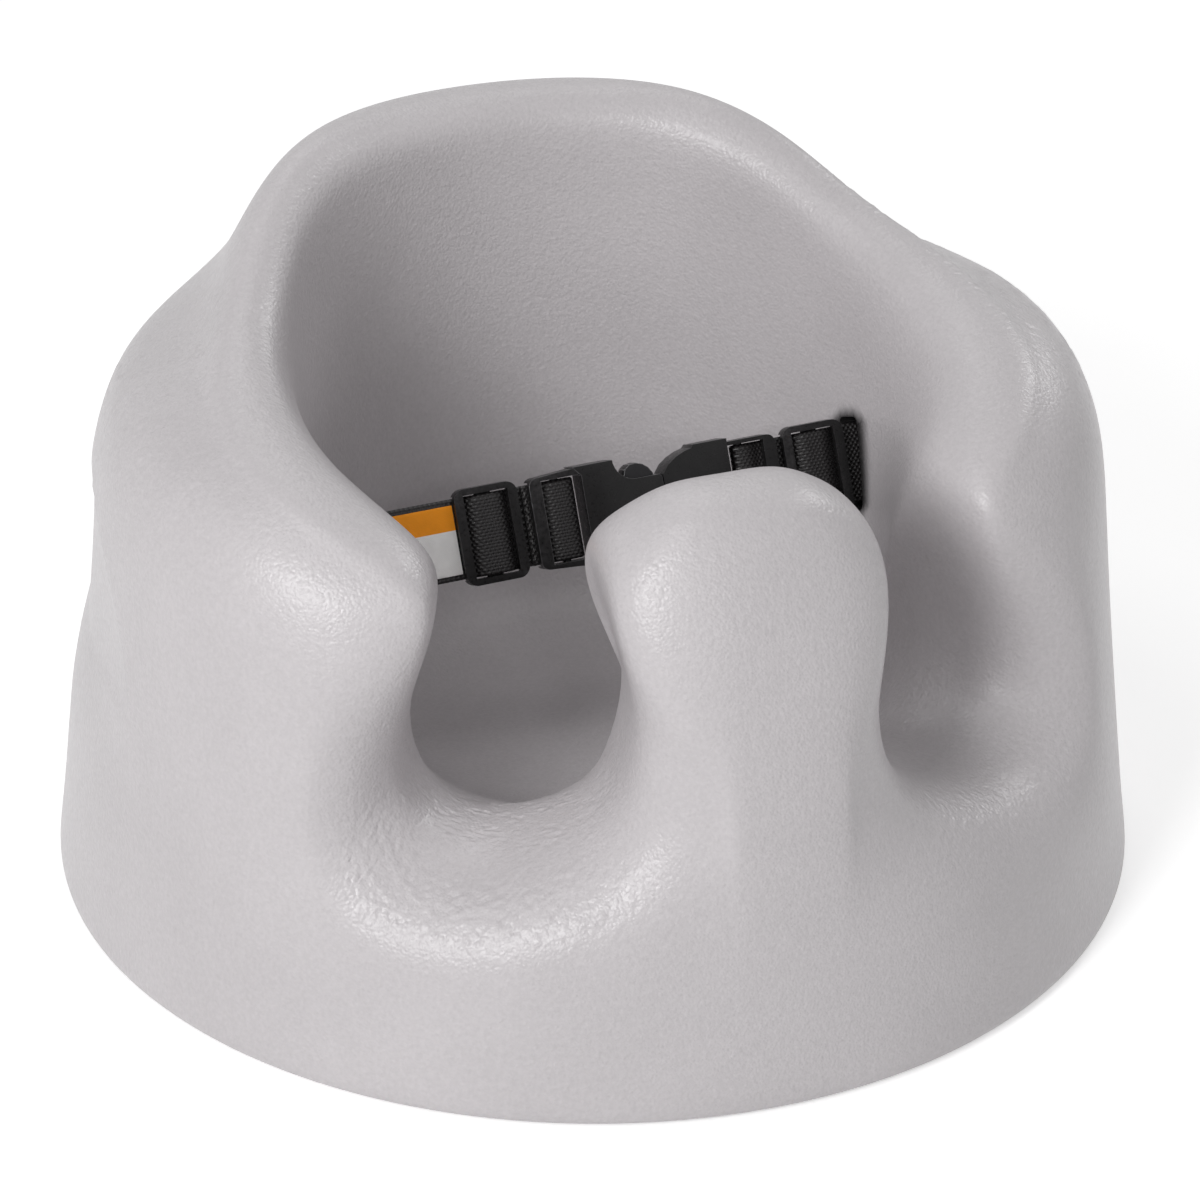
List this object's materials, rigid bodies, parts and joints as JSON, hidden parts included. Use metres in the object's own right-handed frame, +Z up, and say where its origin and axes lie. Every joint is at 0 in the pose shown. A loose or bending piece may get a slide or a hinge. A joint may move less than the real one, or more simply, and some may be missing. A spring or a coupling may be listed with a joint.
{
  "type": "baby floor seat",
  "caption": "Moulded foam floor seat with a high bowl, a pillar between two keyhole leg openings, and a lap belt with a side-release buckle across the bowl.",
  "frame": {"origin": "centre of the round base, at the ground", "axes": "+Z up, the leg openings and the pillar face -Y, +X towards the viewer's right as seen from the front, symmetric about X = 0 but for the belt"},
  "size_m": [0.38, 0.38, 0.2376],
  "materials": {
    "foam_skin": "soft integral-skin foam with a fine leather-like grain",
    "black_plastic": "moulded, low gloss",
    "webbing": "woven polyester webbing",
    "tag_fabric": "satin tape, orange along its upper edge"
  },
  "bodies": {
    "seat": {"seat_body": "foam_skin", "left_anchor": "black_plastic", "right_anchor": "black_plastic", "left_strap": "webbing", "right_strap": "webbing", "strap_tag": "tag_fabric", "buckle_tongue": "black_plastic"},
    "socket": {"buckle_socket": "black_plastic"},
    "left_slider": {"left_slider": "black_plastic"},
    "right_slider": {"right_slider": "black_plastic"},
    "upper_latch": {"latch_arm_upper": "black_plastic"},
    "lower_latch": {"latch_arm_lower": "black_plastic"}
  },
  "joints": [
    {"name": "socket_pull", "type": "slide", "parent": "seat", "child": "socket", "axis": [-0.9997, -0.0096, -0.0206], "range_m": [0, 0.028], "deforming": ["left_strap", "strap_tag", "latch_arm_upper", "latch_arm_lower"]},
    {"name": "left_slider_shift", "type": "slide", "parent": "socket", "child": "left_slider", "axis": [0.9997, 0.0096, 0.0206], "range_m": [-0.018, 0], "deforming": ["left_strap", "strap_tag"]},
    {"name": "right_slider_shift", "type": "slide", "parent": "seat", "child": "right_slider", "axis": [0.9997, 0.0096, 0.0206], "range_m": [-0.001, 0.0015], "deforming": ["right_strap"]},
    {"name": "upper_latch_squeeze", "type": "hinge", "parent": "seat", "child": "upper_latch", "pos_m": [0.04003, 0.00532, 0.13111], "axis": [0, -0.9063, 0.4226], "range_deg": [0, 12], "stiffness_Nm_per_rad": 0.2},
    {"name": "lower_latch_squeeze", "type": "hinge", "parent": "seat", "child": "lower_latch", "pos_m": [0.04035, -0.0006, 0.11842], "axis": [0, 0.9063, -0.4226], "range_deg": [0, 12], "stiffness_Nm_per_rad": 0.2}
  ]
}
